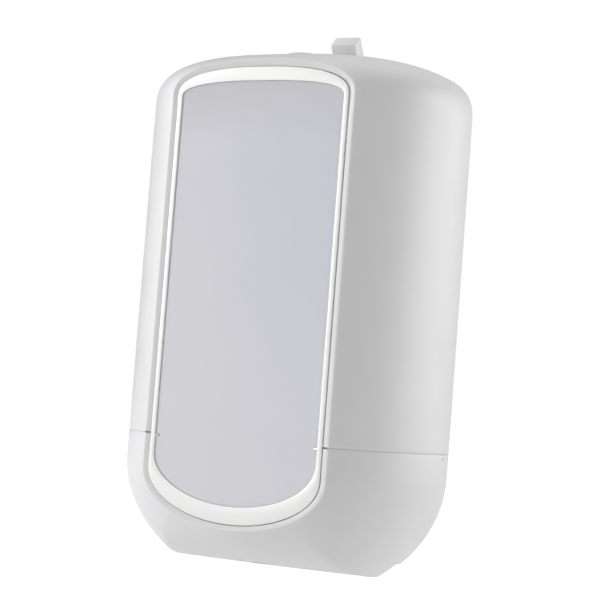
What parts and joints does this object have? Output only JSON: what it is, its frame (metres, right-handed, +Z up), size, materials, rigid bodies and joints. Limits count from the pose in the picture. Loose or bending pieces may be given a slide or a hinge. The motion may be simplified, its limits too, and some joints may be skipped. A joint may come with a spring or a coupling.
{
  "type": "wall mounted soap dispenser",
  "caption": "Wall mounted manual soap dispenser: rounded white hinged cover with a frosted push panel, soap tank, piston pump, top latch and lock.",
  "frame": {"origin": "on the wall plane, in the middle of the back plate, 125 mm above the casing's lowest edge", "axes": "+Y into the wall, so the front faces -Y; +Z up; +X to the right as seen from the front"},
  "size_m": [0.161, 0.066, 0.2606],
  "materials": {
    "white_abs": "satin moulded ABS",
    "white_trim": "bright white gloss",
    "frosted_window": "frosted lilac grey acrylic",
    "natural_plastic": "translucent natural polypropylene",
    "grey_plastic": "moulded acetal",
    "silicone": "translucent silicone",
    "steel": "stainless"
  },
  "bodies": {
    "root": {"back_plate": "white_abs", "cover_hinge_pin_left": "steel", "cover_hinge_pin_right": "steel", "reservoir": "natural_plastic", "reservoir_lid": "natural_plastic", "lid_gasket": "silicone", "spout_seal": "silicone", "pump_body": "natural_plastic", "pump_gland": "grey_plastic", "pump_screw_left": "steel", "pump_screw_right": "steel", "inlet_valve": "silicone", "outlet_valve": "silicone", "nozzle": "grey_plastic"},
    "cover": {"upper_cover": "white_abs", "lower_cover": "white_abs", "cover_screw_left": "steel", "cover_screw_right": "steel", "lock_rosette": "white_abs", "lock_nut": "grey_plastic"},
    "panel": {"trim_ring": "white_trim", "window_panel": "frosted_window", "panel_carrier": "natural_plastic", "panel_pin_left": "steel", "panel_pin_right": "steel"},
    "plunger": {"pump_plunger": "natural_plastic", "plunger_seal": "silicone", "plunger_head": "grey_plastic", "pump_spring": "steel"},
    "latch": {"release_latch": "white_abs", "latch_spring": "steel"},
    "lock": {"lock_barrel": "grey_plastic", "lock_cam": "steel", "cam_screw": "steel"}
  },
  "joints": [
    {"name": "cover_hinge", "type": "hinge", "parent": "root", "child": "cover", "pos_m": [0, -0.0075, -0.119], "axis": [1, 0, 0], "range_deg": [0, 85]},
    {"name": "panel_swing", "type": "hinge", "parent": "cover", "child": "panel", "pos_m": [0, -0.057, 0.101], "axis": [1, 0, 0], "range_deg": [0, 3.2], "stiffness_Nm_per_rad": 30, "springref_deg": -2.01},
    {"name": "plunger_slide", "type": "slide", "parent": "root", "child": "plunger", "axis": [0, 1, 0], "range_m": [0, 0.0099], "deforming": ["pump_spring"]},
    {"name": "latch_slide", "type": "slide", "parent": "root", "child": "latch", "axis": [0, 0, -1], "range_m": [0, 0.0035], "stiffness_N_per_m": 400, "springref_m": -0.004, "deforming": ["latch_spring"]},
    {"name": "lock_turn", "type": "hinge", "parent": "cover", "child": "lock", "pos_m": [0, -0.027, 0.1228], "axis": [0, 0.0872, -0.9962], "range_deg": [0, 90]}
  ],
  "couplings": [
    {"joint": "plunger_slide", "follows": "panel_swing", "m_per_rad": 0.176}
  ]
}
